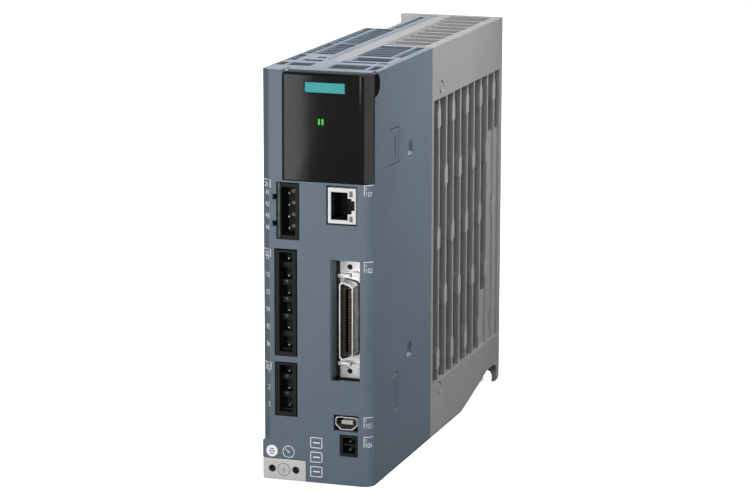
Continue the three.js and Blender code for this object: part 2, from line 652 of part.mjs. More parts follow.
function headers() {
  place('header_six_way', chamberHeader(HEADER.sixWay), material.black);
  place('header_three_way', chamberHeader(HEADER.threeWay), material.black);
  place('header_four_way', openHeader(HEADER.fourWay, [0.5, 1.6, 1.5]), material.black);
  place('header_two_way', twoWayHeader(), material.black);
  const toPower = POWER_BOARD.x1 + GAP;
  headerPins('pin_six_way', HEADER.sixWay, toPower);
  headerPins('pin_three_way', HEADER.threeWay, toPower);
  headerPins('pin_four_way', HEADER.fourWay, BRAKE_BOARD.x1 + GAP);
  headerPins('pin_two_way', HEADER.twoWay, CONTROL_BOARD.x1 + GAP, 0.4);
}

// Eight-contact network jack lying on its side, latch keyway to the right
function networkJack() {
  const { body, mouth, back, window, contact } = JACK;
  const openings = mouth.map(([x0, x1, z0, z1]) => box(x0, x1, -1, back, z0, z1));
  const windows = window.z.map((z) => box(...window.x, -1, window.depth, z, z + window.height));
  place('network_jack_shell', cut(box(...body), [...openings, ...windows]), material.tin);
  const comb = [box(31.5, 32.3, 2, 12.2, 117.2, 128.1)];
  for (let i = 0; i < contact.count; i += 1) {
    const z = contact.first + i * contact.pitch;
    comb.push(sweepZ(polygon([[32.2, 5], [34, 11.6], [32.2, 11.6]]), z, z + contact.width, 1));
  }
  place('network_jack_contacts', join(comb), material.copper);
}

// Outline of the D-shaped signal connector, longer on its left side
function dOutline(inset) {
  const { x, z } = SIGNAL.shell;
  const [x0, x1] = [x[0] + inset, x[1] - inset];
  const [z0, z1] = [z[0] + inset, z[1] - inset];
  return polygon([[x0, z0 + 1], [x0 + 1, z0], [x1 - 1, z0 + 1.2], [x1, z0 + 2.2],
    [x1, z1 - 2.2], [x1 - 1, z1 - 1.2], [x0 + 1, z1], [x0, z1 - 1]]);
}

function signalConnector() {
  const { plate, shell, insert, clips, hole } = SIGNAL;
  const [plateFront, plateBack] = plate.y;
  const bodies = [box(...plate.x, ...plate.y, ...plate.z)];
  clips.forEach(([x0, x1, y0, z0, z1]) => bodies.push(box(x0, x1, y0, plateFront + 0.1, z0, z1)));
  const holes = hole.z.map((z) => sweepY(disc(hole.x, z, hole.r), 0, plateBack + 1, 12));
  const passage = sweepY(dOutline(-0.4), 0, plateBack + 1, 1);
  place('signal_bracket', cut(join(bodies), [passage, ...holes]), material.tin);
  const [shellFront, shellBack] = shell.y;
  const hollow = sweepY(dOutline(shell.thick), shellFront - 1, shellBack + 1, 1);
  place('signal_shell', sweepY(dOutline(0), ...shell.y, 1).subtract(hollow), material.tin);
  const core = sweepY(dOutline(insert.inset), ...insert.y, 1);
  place('signal_insert', core.subtract(box(...insert.slot)), material.black);
}

// Six-contact encoder socket: folded shell with two chamfered corners
function encoderOutline(inset) {
  const { x, z } = ENCODER;
  const [x0, x1, z0, z1] = [x[0] + inset, x[1] - inset, z[0] + inset, z[1] - inset];
  const c = 2.2;
  return polygon([[x0, z0 + c], [x0 + c, z0], [x1 - c, z0], [x1, z0 + c], [x1, z1 - 0.8],
    [x1 - 0.8, z1], [x0 + 0.8, z1], [x0, z1 - 0.8]]);
}

function encoderSocket() {
  const hollow = sweepY(encoderOutline(ENCODER.thick), -1, 12, 1);
  place('encoder_shell', sweepY(encoderOutline(0), 0.3, 13, 1).subtract(hollow), material.tin);
  place('encoder_tongue', box(...ENCODER.tongue), material.white);
}

function boards() {
  const sheets = {
    power_board: POWER_BOARD,
    brake_board: BRAKE_BOARD,
    control_board: CONTROL_BOARD,
    link_board: LINK_BOARD,
  };
  Object.entries(sheets).forEach(([name, { x0, x1, y0, y1, z0, z1 }]) => {
    place(name, box(x0, x1, y0, y1, z0, z1), material.board);
  });
}

function capacitor(name, x, z, r, y0, y1) {
  const groove = 0.6;
  const profile = [[0, 0], [r - 0.8, 0], [r, 0.8], [r, y1 - y0 - 5], [r - groove, y1 - y0 - 4.2],
    [r, y1 - y0 - 3.4], [r, y1 - y0 - 0.6], [r - 0.6, y1 - y0], [0, y1 - y0]];
  const turned = new THREE.LatheGeometry(profile.map(([a, b]) => new THREE.Vector2(a, b)), 24);
  place(name, solid(turned.translate(x, y0, z)), material.blueSleeve);
}

function powerParts() {
  for (let i = 0; i < 4; i += 1) {
    capacitor(`link_capacitor_${i + 1}`, 38.2, 30 + i * 34, 8, 42, 82.2);
  }
  place('thermal_pad', box(18.9, 19.2, 70, 112, 48, 104), material.white);
  const module = box(12.4, 18.7, 71, 111, 50, 102);
  place('power_module', module, material.black);
  const ring = cut(sweepX(disc(58, 142, 13), 4.6, 14.6, 20), [sweepX(disc(58, 142, 6), 4, 17, 20)]);
  place('line_choke', ring, material.copper);
  place('inrush_relay', box(4.6, 17, 92, 120, 122, 144), material.black);
  place('fuse', sweepZ(disc(7.3, 100, 2.6), 20, 40, 10), material.white);
}

function controlParts() {
  const x = CONTROL_BOARD.x1 + GAP;
  place('processor', box(x, x + 1.8, 26, 38, 66, 78), material.black);
  place('memory_card_slot', cut(box(x, x + 6, 6.2, 26, 140, 158),
    [box(x + 1.4, x + 4.4, 5, 24, 141.6, 156.4)]), material.tin);
  place('memory_card', box(x + 1.9, x + 3.7, 7, 23.4, 142.4, 155.8), material.grey);
}

// Pan-head screws that hold the power board's module to the base plate
function sideScrews() {
  [75, 105].forEach((z, i) => {
    const head = sweepX(disc(60, z, 2.6), 16.6, 18.9, 12);
    const shank = sweepX(disc(60, z, 1.4), 18.8, 22.6, 10);
    place(`board_screw_${i + 1}`, head.add(shank), material.steel);
  });
}

place('heatsink_casting', heatsink(), material.casting);
place('front_housing', frontHousing(), material.housing);
place('left_shell', leftShell(), material.housing);
place('front_flap', flap(), material.gloss);
flapTrim();
hingePins();
place('earth_plate', earthPlate(), material.earth);
headers();
networkJack();
signalConnector();
encoderSocket();
boards();
powerParts();
controlParts();
sideScrews();

export default servoDrive;
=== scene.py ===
"""Looks of a book-format servo drive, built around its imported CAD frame."""
import json
import math

import bmesh
import bpy
from mathutils import Matrix, Vector


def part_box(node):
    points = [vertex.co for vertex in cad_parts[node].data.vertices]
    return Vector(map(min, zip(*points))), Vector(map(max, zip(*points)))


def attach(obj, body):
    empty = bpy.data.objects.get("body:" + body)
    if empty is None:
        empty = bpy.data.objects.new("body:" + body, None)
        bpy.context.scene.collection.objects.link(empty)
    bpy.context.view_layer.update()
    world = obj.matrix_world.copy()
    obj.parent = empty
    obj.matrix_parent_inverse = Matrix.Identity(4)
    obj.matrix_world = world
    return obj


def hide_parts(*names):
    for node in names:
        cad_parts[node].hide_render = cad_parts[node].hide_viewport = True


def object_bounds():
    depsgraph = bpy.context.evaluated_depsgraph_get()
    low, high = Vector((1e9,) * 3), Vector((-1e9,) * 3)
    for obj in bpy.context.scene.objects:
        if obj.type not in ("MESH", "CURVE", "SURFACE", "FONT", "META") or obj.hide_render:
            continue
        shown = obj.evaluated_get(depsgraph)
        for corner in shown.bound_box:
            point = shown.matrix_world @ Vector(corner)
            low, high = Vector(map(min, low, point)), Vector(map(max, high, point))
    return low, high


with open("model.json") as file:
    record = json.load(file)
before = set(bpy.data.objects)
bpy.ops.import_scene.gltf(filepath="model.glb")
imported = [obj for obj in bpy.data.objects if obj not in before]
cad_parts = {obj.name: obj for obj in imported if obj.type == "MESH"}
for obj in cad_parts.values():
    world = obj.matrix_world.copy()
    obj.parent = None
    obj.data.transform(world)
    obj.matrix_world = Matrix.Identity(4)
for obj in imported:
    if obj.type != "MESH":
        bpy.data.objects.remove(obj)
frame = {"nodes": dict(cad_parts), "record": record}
nodes = frame["nodes"]
CAD_LO, CAD_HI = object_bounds()
MM = 0.001
DRIVE, FLAP = "drive_body", "flap"
scene = bpy.context.scene

# Corner millimetres (x from the left, y from the front, z from the bottom)
FIN_FIRST, FIN_PITCH, FIN_LAST = 98.1, 11.2, 8      # first fin, spacing, steps to the last fin
# The channel, floor, tip, window and pad limits below mark where the casting's material paints shade
# and a highlight on the fins.
CHANNEL_X, CHANNEL_Y = (25.4, 49.8), (88.0, 196.5)  # the room between the fins
CHANNEL_FLOOR_X, TIP_X = 42, 49.2                   # deeper than the first, further out than the second
WINDOW_Z, PAD_Y = (26, 157), 188                    # the side window, and where the pads end

INK = 0.02                                          # height of the ink over the face
CORNER_X, CORNER_R = 45.5, 4.5                      # the housing's rounded right corner
CHAMFER_X, CHAMFER_Y, CHAMFER_FOOT = 3.3, 2.6, 17.3

SKY_BEHIND = (0.45, 0.97, 0.09, 1.1)                # Y from, to; strength from, to
SKY_ABOVE = (0.25, 1.0, 0.0, 0.35)                  # Z from, to; strength from, to
FLOOR_GAP = 0.0002                                  # the floor's depth under the drive, metres
FLOOR_SEEN, FLOOR_GLOW = 0.93, 0.5                  # its colour and glow to the camera
FLOOR_LEFT, FLOOR_RIGHT = 0.26, 0.01                # what it throws back, left and right of the drive


# ---------------------------------------------------------------- places
def at(x, y, z):
    """Corner millimetres (x from the left, y from the front, z from the bottom) to the row frame."""
    return Vector((CAD_LO.x + x * MM, CAD_LO.y + y * MM, CAD_LO.z + z * MM))


def box_mm(node):
    """A CAD node's box in corner millimetres: x0, x1, y0, y1, z0, z1."""
    lo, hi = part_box(node)
    a = (lo - CAD_LO) / MM
    b = (hi - CAD_LO) / MM
    return a.x, b.x, a.y, b.y, a.z, b.z


# ---------------------------------------------------------------- node materials
class Tree:
    """Small helper that adds shader nodes and wires them."""

    def __init__(self, name):
        self.material = bpy.data.materials.new(name)
        self.material.use_nodes = True
        self.tree = self.material.node_tree
        self.bsdf = self.tree.nodes["Principled BSDF"]
        self.coords = self.add("ShaderNodeTexCoord").outputs["Object"]

    def add(self, kind, **values):
        node = self.tree.nodes.new(kind)
        for key, value in values.items():
            setattr(node, key, value)
        return node

    def link(self, source, target):
        self.tree.links.new(source, target)

    def stretched(self, scale):
        mapping = self.add("ShaderNodeMapping")
        mapping.inputs["Scale"].default_value = scale
        self.link(self.coords, mapping.inputs["Vector"])
        return mapping.outputs["Vector"]

    def noise(self, per_mm, detail=3.0, rough=0.5, stretch=(1, 1, 1)):
        node = self.add("ShaderNodeTexNoise")
        node.inputs["Scale"].default_value = 1.0
        node.inputs["Detail"].default_value = detail
        node.inputs["Roughness"].default_value = rough
        scale = [per_mm * 1000 * s for s in stretch]
        self.link(self.stretched(scale), node.inputs["Vector"])
        return node.outputs["Fac"]

    def voronoi(self, per_mm, feature="F1"):
        node = self.add("ShaderNodeTexVoronoi", feature=feature)
        node.inputs["Scale"].default_value = 1.0
        self.link(self.stretched([per_mm * 1000] * 3), node.inputs["Vector"])
        return node.outputs["Distance"]

    def wave(self, per_mm, axis):
        """Even bands along one axis."""
        node = self.add("ShaderNodeTexWave", bands_direction=axis, wave_profile="SIN")
        node.inputs["Scale"].default_value = per_mm * 1000 * 0.1592
        node.inputs["Distortion"].default_value = 0.0
        self.link(self.coords, node.inputs["Vector"])
        return node.outputs["Fac"]

    def remap(self, source, low, high, start=0.3, end=0.7):
        node = self.add("ShaderNodeMapRange", clamp=True)
        node.inputs["From Min"].default_value = start
        node.inputs["From Max"].default_value = end
        node.inputs["To Min"].default_value = low
        node.inputs["To Max"].default_value = high
        self.link(source, node.inputs["Value"])
        return node.outputs["Result"]

    def mix(self, source, first, second):
        node = self.add("ShaderNodeMix", data_type="RGBA")
        for socket, value in ((node.inputs[6], first), (node.inputs[7], second)):
            if isinstance(value, (tuple, list)):
                socket.default_value = (*value[:3], 1)
            else:
                self.link(value, socket)
        self.link(source, node.inputs[0])
        return node.outputs[2]

    def bump(self, height, depth_mm, strength=1.0, after=None):
        node = self.add("ShaderNodeBump")
        node.inputs["Strength"].default_value = strength
        node.inputs["Distance"].default_value = depth_mm * MM
        self.link(height, node.inputs["Height"])
        if after is not None:
            self.link(after, node.inputs["Normal"])
        return node.outputs["Normal"]

    def soft_edges(self, radius_mm):
        node = self.add("ShaderNodeBevel", samples=6)
        node.inputs["Radius"].default_value = radius_mm * MM
        return node.outputs["Normal"]

    def edge_mask(self, radius_mm):
        """1 on a sharp edge, 0 on flat ground: where a rounded normal leaves the true one."""
        rounded = self.soft_edges(radius_mm)
        plain = self.add("ShaderNodeNewGeometry").outputs["Normal"]
        dot = self.add("ShaderNodeVectorMath", operation="DOT_PRODUCT")
        self.link(rounded, dot.inputs[0])
        self.link(plain, dot.inputs[1])
        return self.remap(dot.outputs["Value"], 1.0, 0.0, 0.75, 0.995)

    def math(self, operation, first, second=0.0):
        node = self.add("ShaderNodeMath", operation=operation)
        for socket, value in zip(node.inputs, (first, second)):
            if isinstance(value, (int, float)):
                socket.default_value = value
            else:
                self.link(value, socket)
        return node.outputs[0]

    def axes(self, source):
        node = self.add("ShaderNodeSeparateXYZ")
        self.link(source, node.inputs[0])
        return node.outputs

    def between(self, source, low, high):
        """1 between two levels, 0 outside them."""
        above = self.math("GREATER_THAN", source, low)
        return self.math("MULTIPLY", above, self.math("LESS_THAN", source, high))

    def colour(self, value):
        self.link(value, self.bsdf.inputs["Base Color"])

    def rough(self, value):
        self.link(value, self.bsdf.inputs["Roughness"])

    def normal(self, value):
        self.link(value, self.bsdf.inputs["Normal"])

    def flat(self, **values):
        for key, value in values.items():
            self.bsdf.inputs[key.replace("_", " ")].default_value = value


def shade(colour, factor):
    return tuple(min(1.0, c * factor) for c in colour)


def moulded(name, colour, rough=0.42, grain_mm=0.35, depth=0.012, edge=0.25, spread=0.05,
            specular=0.5):
    """Moulded plastic: fine spark-eroded grain, faint clouding and a painted highlight along sharp
    edges.
    """
    t = Tree(name)
    clouds = t.noise(0.035, 2.0)
    base = t.mix(t.remap(clouds, 0, 1), shade(colour, 1 - spread), shade(colour, 1 + spread))
    edge_highlight = t.edge_mask(edge)
    # Painted highlight: the colour turns lighter along sharp edges.
    t.colour(t.mix(t.remap(edge_highlight, 0, 0.55, 0, 1), base, shade(colour, 1.6)))
    grain = t.noise(1 / grain_mm, 2.0)
    t.rough(t.remap(grain, rough - 0.05, rough + 0.07))
    t.flat(Specular_IOR_Level=specular)
    t.normal(t.bump(grain, depth, 0.6, t.soft_edges(edge)))
    return t.material


def fin_faces(t):
    """Masks that place the casting's painted shade and highlight: flanks and channel floors, fin tips
    and pad tops, and how far a face looks up.
    """
    lo = at(CHANNEL_X[0], CHANNEL_Y[0], WINDOW_Z[0])
    hi = at(CHANNEL_X[1], CHANNEL_Y[1], WINDOW_Z[1])
    spot = t.axes(t.coords)
    facing = t.axes(t.add("ShaderNodeNewGeometry").outputs["True Normal"])
    inside = t.math("MULTIPLY", t.between(spot[0], lo.x, hi.x), t.between(spot[1], lo.y, hi.y))
    above_window = t.math("GREATER_THAN", spot[2], hi.z)
    inside = t.math("MULTIPLY", inside, t.remap(above_window, 1, 0.45, 0, 1))
    flank = t.math("GREATER_THAN", t.math("ABSOLUTE", facing[1]), 0.5)
    floor = t.math("LESS_THAN", spot[0], at(CHANNEL_FLOOR_X, 0, 0).x)
    outward = t.math("GREATER_THAN", facing[0], 0.5)
    before_end = t.math("LESS_THAN", spot[1], at(0, PAD_Y, 0).y)
    pad = t.math("MULTIPLY", t.math("GREATER_THAN", facing[2], 0.2), before_end)
    pad = t.math("MULTIPLY", pad, t.between(spot[2], lo.z, hi.z))
    deep = t.math("MAXIMUM", flank, t.math("MULTIPLY", outward, floor))
    tip = t.math("MULTIPLY", outward, t.math("GREATER_THAN", spot[0], at(TIP_X, 0, 0).x))
    masks = [t.math("MULTIPLY", inside, mask) for mask in (deep, tip, pad)]
    return *masks, facing[2]


def cast(name, colour, rough=0.5, metal=0.85, edge=0.3, recess=None):
    """Bead-blasted cast aluminium: flow marks, grain, a painted highlight on sharp edges and, if asked,
    painted shade and highlight on the fins.
    """
    t = Tree(name)
    flow = t.noise(0.03, 4.0, 0.6, (1, 1, 0.35))
    base = t.mix(t.remap(flow, 0, 1, 0.25, 0.75), shade(colour, 0.93), shade(colour, 1.06))
    edge_highlight = t.edge_mask(edge)
    # Painted highlight: the colour turns lighter along sharp edges.
    surface = t.mix(t.remap(edge_highlight, 0, 0.75, 0, 1), base, shade(colour, 1.6))
    if recess:
        deep, tip, pad, upward = fin_faces(t)
        # Painted shade: faces that look up darken towards 0.6, fin flanks and channel floors to the
        # recess factor and slanted pad tops to 0.36; the fin tips get a painted highlight.
        surface = t.mix(t.remap(upward, 0, 1, 0.7, 0.95), surface, shade(colour, 0.6))
        surface = t.mix(deep, surface, shade(colour, recess))
        surface = t.mix(tip, surface, shade(colour, 1.1))
        surface = t.mix(pad, surface, shade(colour, 0.36))
    t.colour(surface)
    grain = t.noise(2.2, 3.0, 0.6)
    t.rough(t.remap(grain, rough - 0.07, rough + 0.08))
    t.flat(Metallic=metal)
    t.normal(t.bump(grain, 0.02, 0.5, t.soft_edges(edge)))
    return t.material


def glossy(name, colour, rough=0.08, edge=0.35, specular=0.5):
    """High-gloss moulding with a very slight orange peel and faint fine scratches."""
    t = Tree(name)
    peel = t.noise(0.25, 1.0)
    swirl = t.noise(1.2, 2.0, 0.5, (1, 1, 0.06))
    t.colour(t.mix(t.remap(swirl, 0, 1, 0.45, 0.8), colour, shade(colour, 1.2)))
    t.rough(t.remap(swirl, rough, rough + 0.02, 0.4, 0.8))
    t.flat(Specular_IOR_Level=specular, Coat_Weight=0.0, Coat_Roughness=0.03)
    t.normal(t.bump(peel, 0.01, 0.15, t.soft_edges(edge)))
    return t.material


def metal_sheet(name, colour, rough, stretch=(1, 1, 0.05), edge=0.12, metal=1.0):
    """Rolled and plated sheet metal with a faint grain along one direction."""
    t = Tree(name)
    grain = t.noise(3.0, 3.0, 0.6, stretch)
    blotch = t.noise(0.2, 2.0)
    t.colour(t.mix(t.remap(blotch, 0, 1), shade(colour, 0.9), shade(colour, 1.08)))
    t.rough(t.remap(grain, rough - 0.05, rough + 0.1))
    t.flat(Metallic=metal)
    t.normal(t.bump(grain, 0.006, 0.4, t.soft_edges(edge)))
    return t.material


def board(name, mask_colour=(0.005, 0.07, 0.035)):
    """Printed circuit board: solder mask with darker tracks and tinned pads."""
    t = Tree(name)
    tracks = t.voronoi(0.25, "DISTANCE_TO_EDGE")
    mask = t.mix(t.remap(tracks, 1, 0, 0.02, 0.06), shade(mask_colour, 0.55), mask_colour)
    pads = t.voronoi(0.4)
    t.colour(t.mix(t.remap(pads, 1, 0, 0.08, 0.13), mask, (0.16, 0.17, 0.14)))
    t.rough(t.remap(tracks, 0.3, 0.4, 0.0, 0.1))
    t.normal(t.bump(tracks, 0.03, 0.4))
    return t.material


def winding(name, colour):
    """Enamelled copper wire laid turn on turn, with painted shade darkening the grooves between turns.
    """
    t = Tree(name)
    turns = t.wave(1.1, "Z")
    t.colour(t.mix(turns, shade(colour, 0.35), colour))
    t.rough(t.remap(turns, 0.4, 0.2))
    t.flat(Metallic=0.9)
    t.normal(t.bump(turns, 0.25, 1.0))
    return t.material


def sleeve(name, colour):
    """Shrunk plastic sleeve with a paler stripe down one side."""
    t = Tree(name)
    stripe = t.wave(0.06, "X")
    t.colour(t.mix(t.remap(stripe, 0, 1, 0.9, 0.95), colour, (0.35, 0.4, 0.45)))
    wrinkle = t.noise(0.8, 2.0)
    t.rough(t.remap(wrinkle, 0.25, 0.38))
    t.normal(t.bump(wrinkle, 0.02, 0.4, t.soft_edges(0.3)))
    return t.material


def light(name, colour, strength):
    """Lit light pipe: diffuse plastic glowing from inside, its colour faintly mottled."""
    t = Tree(name)
    glow = t.noise(0.6, 1.0)
    t.colour(t.mix(t.remap(glow, 0, 1), shade(colour, 0.8), colour))
    t.rough(t.remap(glow, 0.2, 0.3))
    t.flat(Emission_Color=(*colour, 1), Emission_Strength=strength)
    return t.material


def ink(name, colour, rough=0.5):
    """Pad-printed ink: slightly uneven cover."""
    t = Tree(name)
    cover = t.noise(1.5, 3.0)
    t.colour(t.mix(t.remap(cover, 0, 1, 0.2, 0.6), shade(colour, 0.85), colour))
    t.rough(t.remap(cover, rough - 0.05, rough + 0.1))
    t.flat(Specular_IOR_Level=0.3)
    return t.material


PLASTIC = (0.082, 0.113, 0.149)
MAT = {
    "housing_plastic": moulded("housing_plastic", PLASTIC),
    # The casting paints shade into its fin channels at 0.62 of its colour.
    "cast_aluminium": cast("cast_aluminium", (0.35, 0.357, 0.368), 0.5, 0.6, 0.22, 0.62),
    "gloss_black": glossy("gloss_black", (0.0045, 0.0045, 0.0043), 0.07, specular=0.2),
    "teal_plastic": moulded("teal_plastic", (0.004, 0.275, 0.285), 0.35, 0.5, 0.004, 0.15, 0.02),
    "green_light": light("green_light", (0.015, 0.42, 0.04), 0.4),
    "steel": metal_sheet("steel", (0.5, 0.5, 0.5), 0.28, (1, 1, 1)),
    "earth_metal": cast("earth_metal", (0.58, 0.58, 0.565), 0.42, 0.6, 0.25),
    "black_plastic": moulded("black_plastic", (0.005, 0.0048, 0.0044), 0.55, 0.4, 0.01, 0.12, 0.12,
                             0.22),
    "tinned_metal": metal_sheet("tinned_metal", (0.6, 0.6, 0.59), 0.38),
    "contact_gold": metal_sheet("contact_gold", (0.66, 0.45, 0.16), 0.2, (1, 1, 1), 0.05),
    "circuit_board": board("circuit_board"),
    "white_plastic": moulded("white_plastic", (0.62, 0.62, 0.6), 0.4, 0.5, 0.006, 0.15, 0.03),
    "blue_sleeve": sleeve("blue_sleeve", (0.012, 0.035, 0.1)),
    "copper": winding("copper", (0.55, 0.22, 0.07)),
    "grey_plastic": moulded("grey_plastic", (0.07, 0.07, 0.075), 0.45, 0.3, 0.01, 0.15, 0.08),
    "white_ink": ink("white_ink", (0.85, 0.87, 0.88)),
    "jack_frame": moulded("jack_frame", (0.66, 0.66, 0.65), 0.3, 0.5, 0.004, 0.12, 0.03),
    "lens_grey": moulded("lens_grey", (0.16, 0.16, 0.16), 0.25, 0.3, 0.01, 0.1, 0.1),
    # Near-black plastic: black liners, and painted shade in gaps, slits, grooves and holes.
    "black_and_shade": moulded("black_and_shade", (0.004, 0.004, 0.004), 0.55, 0.4, 0.01, 0.05, 0.1, 0.25),
    "mark_shadow": moulded("mark_shadow", (0.2, 0.2, 0.19), 0.5, 0.4, 0.01, 0.05, 0.05),
    # Darkened copy of contact_gold: painted shade for contacts deep in their sockets.
    "shaded_contact": metal_sheet("shaded_contact", (0.16, 0.13, 0.09), 0.3, (1, 1, 1), 0.05),
    "mask_green": board("mask_green", (0.003, 0.026, 0.017)),
    "tongue_grey": moulded("tongue_grey", (0.2, 0.2, 0.195), 0.4, 0.3, 0.01, 0.1, 0.05),
    # Darkened copy of the housing plastic: painted shade in the top pockets.
    "pocket_shade": moulded("pocket_shade", (0.032, 0.042, 0.055), 0.6, 0.4, 0.01, 0.1, 0.05, 0.3),
    # Lightened copy of the housing plastic: painted light on the signal pocket's left wall.
    "lit_pocket_wall": moulded("lit_pocket_wall", shade(PLASTIC, 1.5), 0.5),
    # Near-black: painted shade in the earth plate's threaded holes.
    "thread_shade": metal_sheet("thread_shade", (0.03, 0.03, 0.03), 0.5, (1, 1, 1), 0.05, 0.3),
}

OWN_LOOK = {"network_jack_shell": "jack_frame", "encoder_tongue": "tongue_grey"}
SPLIT_ANGLE = {"heatsink_casting": 16}
record_slots = {s["node"]: s["material_slot"] for s in frame["record"]["subparts"]}
for node_name, obj in nodes.items():
    obj.material_slots[0].material = MAT[OWN_LOOK.get(node_name, record_slots[node_name])]
    obj.data.shade_smooth()
    weld = obj.modifiers.new("weld", "WELD")
    weld.merge_threshold = 2e-6
    split = obj.modifiers.new("split", "EDGE_SPLIT")
    split.split_angle = math.radians(SPLIT_ANGLE.get(node_name, 20))
    split.use_edge_sharp = False
    obj.modifiers.new("flat_faces", "WEIGHTED_NORMAL")


# ---------------------------------------------------------------- mesh helpers
def new_piece(name, bm, slot, body=DRIVE, smooth=35, material=None):
    """Turns corner-millimetre bmesh geometry into a piece that rides on a body."""
    bmesh.ops.recalc_face_normals(bm, faces=bm.faces[:])
    mesh = bpy.data.meshes.new(name)
    bm.to_mesh(mesh)
    bm.free()
    mesh.transform(Matrix.Translation(CAD_LO) @ Matrix.Scale(MM, 4))
    mesh.shade_smooth()
    mesh.set_sharp_from_angle(angle=math.radians(smooth))
    piece = bpy.data.objects.new(name, mesh)
    scene.collection.objects.link(piece)
    mesh.materials.append(MAT[material or slot])
    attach(piece, body)
    return piece


def block(bm, x0, x1, y0, y1, z0, z1, bevel=0.15, segments=2):
    """Adds a box with rounded edges."""
    made = bmesh.ops.create_cube(bm, size=1.0)
    verts = made["verts"]
    size = Matrix.Diagonal((x1 - x0, y1 - y0, z1 - z0, 1))
    middle = Matrix.Translation(((x0 + x1) / 2, (y0 + y1) / 2, (z0 + z1) / 2))
    bmesh.ops.transform(bm, matrix=middle @ size, verts=verts)
    edges = list({e for v in verts for e in v.link_edges})
    if bevel:
        bmesh.ops.bevel(bm, geom=edges, offset=bevel, segments=segments, affect="EDGES", profile=0.5)


def place_on(axis, u, v, w):
    """A point drawn across an axis, at height w along it."""
    return {"x": (w, u, v), "y": (u, w, v), "z": (u, v, w)}[axis]


def prism(bm, outline, axis, a, b, bevel=0.0, segments=2):
    """Adds a prism: the outline is drawn across the axis ('x': y,z; 'y': x,z; 'z': x,y)."""
    first = [bm.verts.new(place_on(axis, u, v, a)) for u, v in outline]
    second = [bm.verts.new(place_on(axis, u, v, b)) for u, v in outline]
    faces = [bm.faces.new(first), bm.faces.new(second[::-1])]
    count = len(outline)
    for i in range(count):
        j = (i + 1) % count
        faces.append(bm.faces.new((first[i], first[j], second[j], second[i])))
    if bevel:
        edges = list({e for f in faces[:2] for e in f.edges})
        bmesh.ops.bevel(bm, geom=edges, offset=bevel, segments=segments, affect="EDGES", profile=0.5)


def round_outline(u, v, r, sides=24):
    angles = [math.radians(360.0 * i / sides) for i in range(sides)]
    return [(u + r * math.cos(a), v + r * math.sin(a)) for a in angles]


def ring_band(bm, u, v, r_in, r_out, axis, a, b, sides=32):
    """Adds a closed flat ring with a square section."""
    loops = []
    for radius, level in ((r_in, a), (r_out, a), (r_out, b), (r_in, b)):
        points = round_outline(u, v, radius, sides)
        loops.append([bm.verts.new(place_on(axis, p, q, level)) for p, q in points])
    for low, high in zip(loops, loops[1:] + loops[:1]):
        for i in range(sides):
            j = (i + 1) % sides
            bm.faces.new((low[i], low[j], high[j], high[i]))


def tube(bm, points, radius, sides=8):
    """Adds a round wire along points."""
    path = [Vector(p) for p in points]
    rings = []
    for i, p in enumerate(path):
        tangent = (path[min(i + 1, len(path) - 1)] - path[max(i - 1, 0)]).normalized()
        side = tangent.orthogonal().normalized() if i == 0 else side - tangent * side.dot(tangent)
        side.normalize()
        up = tangent.cross(side)
        turns = [2 * math.pi * k / sides for k in range(sides)]
        rings.append([bm.verts.new(p + side * radius * math.cos(a) + up * radius * math.sin(a))
                      for a in turns])
    for low, high in zip(rings, rings[1:]):
        for k in range(sides):
            m = (k + 1) % sides
            bm.faces.new((low[k], low[m], high[m], high[k]))
    bm.faces.new(rings[0][::-1])
    bm.faces.new(rings[-1])


# ---------------------------------------------------------------- printed marks on the front
# The height of each bracket's top line, and its number
RIGHT_MARKS = ((132.2, "101"), (99.1, "102"), (30.9, "103"), (22.2, "104"))
LEFT_MARKS = ((132.3, "21"), (102.0, "22"), (52.0, "23"))
POLE_MARKS = (("pin_four_way", 4, "4"), ("pin_six_way", 6, "1"), ("pin_three_way", 3, ""))
DISC, DIAL, DIAL_R = (4.13, 12.6), (11.8, 12.7), 2.6
SQUARE_X, SQUARES_Z = (22.0, 27.1), ((15.6, 20.1), (9.2, 13.6), (2.7, 7.1))
DIGITS = {      # strokes in quarter heights: x0, z0, x1, z1
    "0": [(0, 0, 2, 0), (2, 0, 2, 4), (2, 4, 0, 4), (0, 4, 0, 0)],
    "1": [(0.3, 3.2, 1.1, 4), (1.1, 4, 1.1, 0)],
    "2": [(0, 4, 2, 4), (2, 4, 2, 2.2), (2, 2.2, 0, 0), (0, 0, 2, 0)],
    "3": [(0, 4, 2, 4), (2, 4, 0.9, 2.3), (0.9, 2.3, 2, 2), (2, 2, 2, 0), (2, 0, 0, 0)],
    "4": [(1.4, 4, 0, 1.3), (0, 1.3, 2, 1.3), (1.5, 2.4, 1.5, 0)],
    "5": [(2, 4, 0, 4), (0, 4, 0, 2.2), (0, 2.2, 2, 2.2), (2, 2.2, 2, 0), (2, 0, 0, 0)],
    "6": [(1.6, 4, 0, 2), (0, 2, 0, 0), (0, 0, 2, 0), (2, 0, 2, 2), (2, 2, 0, 2)],
}


def skin(x, z, lift):
    """Point on the housing's front, which turns round its right corner and left chamfer."""
    if x > CORNER_X:
        angle = (x - CORNER_X) / CORNER_R
        reach = CORNER_R + lift
        return CORNER_X + reach * math.sin(angle), CORNER_R - reach * math.cos(angle), z
    if x < CHAMFER_X and z > CHAMFER_FOOT:
        return x - lift * 0.6, CHAMFER_Y * (1 - x / CHAMFER_X) - lift * 0.8, z
    return x, -lift, z


